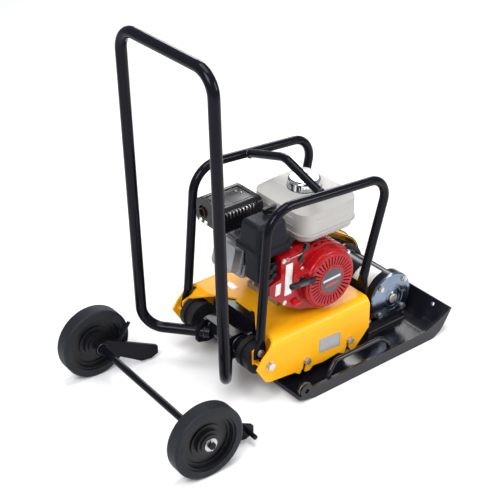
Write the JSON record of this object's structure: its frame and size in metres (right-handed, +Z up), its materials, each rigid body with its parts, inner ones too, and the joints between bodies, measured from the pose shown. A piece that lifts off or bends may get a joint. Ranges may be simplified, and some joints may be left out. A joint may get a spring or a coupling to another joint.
{
  "type": "plate compactor",
  "caption": "Petrol plate compactor with a curved steel sole, rubber-mounted engine deck, tilting handle, guard hoops and a detached two-wheel trolley.",
  "frame": {"origin": "middle of the flat part of the sole, at the height of the ground", "axes": "+X is the travel direction, +Y the machine's left side, +Z up"},
  "size_m": [1.0156, 0.5937, 0.99],
  "materials": {
    "yellow_paint": "satin",
    "black_paint": "gloss",
    "black_engine": "satin",
    "grey_casting": "cast",
    "zinc_steel": "zinc plated",
    "turned_steel": "machined",
    "heated_steel": "heat tinted",
    "cast_iron": "machined",
    "chrome": "polished",
    "cream_tank": "gloss",
    "red_paint": "gloss",
    "dark_plastic": "matt",
    "black_plastic": "matt",
    "red_plastic": "gloss",
    "rubber": "matt",
    "tyre": "matt",
    "filter_foam": "matt"
  },
  "bodies": {
    "chassis": {"deck": "yellow_paint", "belt_guard": "yellow_paint", "base_plate": "black_paint", "lifting_grips": "black_paint", "exciter_housing": "black_paint", "hoop_right": "black_paint", "hoop_left": "black_paint", "lifting_bar": "black_paint", "handle_bracket": "black_paint", "handle_pivot_bolt": "black_paint", "muffler_guard": "black_engine", "carburettor": "black_engine", "control_plate": "black_engine", "fan_cover": "red_paint", "recoil_cover": "red_paint", "crankcase": "grey_casting", "cylinder": "grey_casting", "rocker_cover": "grey_casting", "exciter_covers": "zinc_steel", "exciter_bolts": "zinc_steel", "isolator_bolts": "zinc_steel", "handle_stops": "zinc_steel", "frame_bolts": "zinc_steel", "engine_bolts": "zinc_steel", "spark_plug": "zinc_steel", "exciter_bearings": "turned_steel", "muffler": "heated_steel", "fuel_tank": "cream_tank", "air_cleaner_base": "dark_plastic", "exciter_plug": "red_plastic", "v_belt": "rubber", "isolators": "rubber", "handle_buffers": "rubber", "fuel_hose": "rubber", "plug_lead": "rubber", "air_filter": "filter_foam"},
    "handle": {"handle_frame": "black_paint"},
    "crank": {"crankshaft": "turned_steel", "flywheel": "cast_iron", "clutch_hub": "turned_steel"},
    "clutch_drum": {"clutch_drum": "turned_steel"},
    "eccentric": {"eccentric_shaft": "turned_steel", "exciter_pulley": "cast_iron"},
    "starter_grip": {"starter_grip": "black_plastic"},
    "choke_lever": {"choke_lever": "black_plastic"},
    "fuel_lever": {"fuel_lever": "black_plastic"},
    "throttle_lever": {"throttle_lever": "zinc_steel"},
    "engine_switch": {"engine_switch": "red_plastic"},
    "fuel_cap": {"fuel_cap": "chrome"},
    "oil_dipstick": {"oil_dipstick": "black_plastic"},
    "wing_nut": {"wing_nut": "black_plastic"},
    "air_cleaner_cover": {"air_cleaner_cover": "dark_plastic"},
    "trolley": {"trolley_frame": "black_paint", "axle_retainers": "turned_steel"},
    "trolley_latch": {"trolley_latch": "black_paint"},
    "wheel_left": {"wheel_left": "black_plastic", "tyre_left": "tyre"},
    "wheel_right": {"wheel_right": "black_plastic", "tyre_right": "tyre"}
  },
  "joints": [
    {"name": "handle_tilt", "type": "hinge", "parent": "chassis", "child": "handle", "pos_m": [-0.327, 0, 0.114], "axis": [0, -1, 0], "range_deg": [0, 20]},
    {"name": "crankshaft_spin", "type": "hinge", "parent": "chassis", "child": "crank", "pos_m": [-0.115, 0, 0.289], "axis": [0, 1, 0], "continuous": true},
    {"name": "clutch_drum_spin", "type": "hinge", "parent": "chassis", "child": "clutch_drum", "pos_m": [-0.115, 0, 0.289], "axis": [0, 1, 0], "continuous": true},
    {"name": "exciter_spin", "type": "hinge", "parent": "chassis", "child": "eccentric", "pos_m": [0.15, 0, 0.111], "axis": [0, 1, 0], "continuous": true},
    {"name": "starter_pull", "type": "slide", "parent": "chassis", "child": "starter_grip", "axis": [0, -1, 0], "range_m": [0, 0.4], "stiffness_N_per_m": 40},
    {"name": "choke_turn", "type": "hinge", "parent": "chassis", "child": "choke_lever", "pos_m": [-0.276, -0.136, 0.37], "axis": [0, 1, 0], "range_deg": [0, 25]},
    {"name": "fuel_turn", "type": "hinge", "parent": "chassis", "child": "fuel_lever", "pos_m": [-0.276, -0.136, 0.346], "axis": [0, 1, 0], "range_deg": [0, 20]},
    {"name": "throttle_turn", "type": "hinge", "parent": "chassis", "child": "throttle_lever", "pos_m": [-0.198, -0.15, 0.37], "axis": [0, 1, 0], "range_deg": [-20, 30]},
    {"name": "switch_turn", "type": "hinge", "parent": "chassis", "child": "engine_switch", "pos_m": [-0.213, -0.15, 0.247], "axis": [0, 1, 0], "range_deg": [0, 45]},
    {"name": "fuel_cap_lift", "type": "slide", "parent": "chassis", "child": "fuel_cap", "axis": [0, 0, 1], "range_m": [0, 0.02]},
    {"name": "dipstick_draw", "type": "slide", "parent": "chassis", "child": "oil_dipstick", "axis": [0.769, 0, 0.6392], "range_m": [0, 0.05]},
    {"name": "air_cover_lift", "type": "slide", "parent": "chassis", "child": "air_cleaner_cover", "axis": [0, 0, 1], "range_m": [0, 0.06]},
    {"name": "wing_nut_turn", "type": "hinge", "parent": "air_cleaner_cover", "child": "wing_nut", "pos_m": [-0.238, -0.072, 0.49], "axis": [0, 0, 1], "continuous": true},
    {"name": "trolley_roll", "type": "slide", "parent": "chassis", "child": "trolley", "axis": [0.9994, -0.0349, 0], "range_m": [-0.3, 0]},
    {"name": "wheel_left_spin", "type": "hinge", "parent": "trolley", "child": "wheel_left", "pos_m": [-0.61287, 0.21134, 0.1], "axis": [0.0349, 0.9994, 0], "continuous": true},
    {"name": "wheel_right_spin", "type": "hinge", "parent": "trolley", "child": "wheel_right", "pos_m": [-0.63113, -0.31134, 0.1], "axis": [0.0349, 0.9994, 0], "continuous": true},
    {"name": "latch_turn", "type": "hinge", "parent": "trolley", "child": "trolley_latch", "pos_m": [-0.55401, 0.17777, 0.088], "axis": [0.0349, 0.9994, 0], "range_deg": [-25, 10]}
  ],
  "couplings": [
    {"joint": "clutch_drum_spin", "follows": "exciter_spin", "ratio": 1.36}
  ]
}
